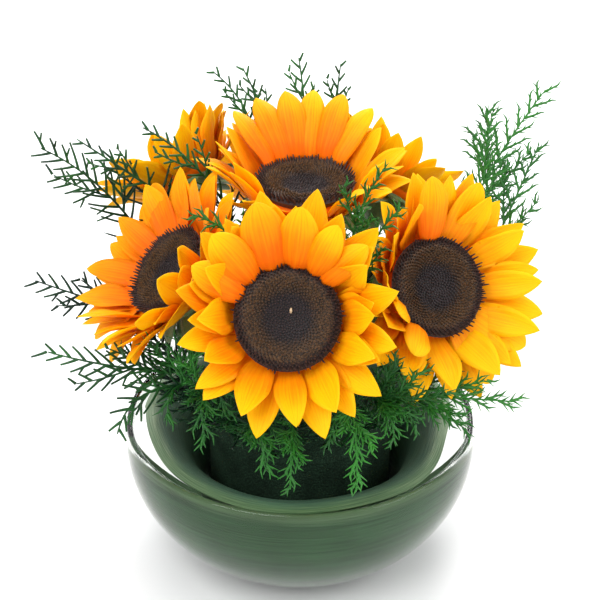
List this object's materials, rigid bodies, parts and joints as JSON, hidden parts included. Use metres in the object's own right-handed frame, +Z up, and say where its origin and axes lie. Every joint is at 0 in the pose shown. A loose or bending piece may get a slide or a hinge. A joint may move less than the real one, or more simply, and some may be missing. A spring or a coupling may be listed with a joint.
{
  "type": "sunflower arrangement in a glass bowl",
  "caption": "Low round clear glass bowl lined with green leaves and filled with floral foam, which holds sunflowers and fine needle-leaved sprays of greenery facing all round.",
  "frame": {"origin": "centre of the flat underside of the bowl's base, where it rests on the table", "axes": "+Z up through the middle of the bowl, -Y towards the side with the lowest front bloom, +X to that side's right"},
  "size_m": [0.2989, 0.2842, 0.2793],
  "materials": {
    "glass": "clear, fire-polished rim",
    "leaf": "fresh leaf, satin, fine parallel veins",
    "pale_leaf": "fresh leaf with a pale streaked margin, satin",
    "foam": "wet fine-celled foam, matt",
    "petal": "fresh petal, soft satin, fine lengthwise veins",
    "florets": "dense dry florets, matt",
    "stem": "fresh green stem and bracts, downy",
    "needles": "fresh needles, slightly glossy"
  },
  "bodies": {
    "root": {"glass_bowl": "glass", "leaf_liner": "leaf", "leaf_ring": "pale_leaf", "floral_foam": "foam", "front_petals": "petal", "front_disc": "florets", "front_stem": "stem", "right_petals": "petal", "right_disc": "florets", "right_stem": "stem", "left_petals": "petal", "left_disc": "florets", "left_stem": "stem", "top_petals": "petal", "top_disc": "florets", "top_stem": "stem", "back_left_petals": "petal", "back_left_disc": "florets", "back_left_stem": "stem", "back_right_petals": "petal", "back_right_disc": "florets", "back_right_stem": "stem", "back_petals": "petal", "back_disc": "florets", "back_stem": "stem", "right_high_spray": "needles", "right_tall_spray": "needles", "right_side_spray": "needles", "left_high_spray": "needles", "left_top_spray": "needles", "left_mid_spray": "needles", "left_low_spray": "needles", "left_droop_spray": "needles", "left_front_spray": "needles", "front_left_spray": "needles", "front_mid_spray": "needles", "front_right_spray": "needles", "front_far_spray": "needles", "right_low_spray": "needles", "back_left_spray": "needles", "back_mid_spray": "needles", "back_top_spray": "needles", "back_right_spray": "needles", "between_left_spray": "needles", "between_far_spray": "needles", "between_right_spray": "needles", "between_low_spray": "needles", "rear_left_spray": "needles", "rear_mid_spray": "needles", "rear_right_spray": "needles"}
  },
  "joints": []
}
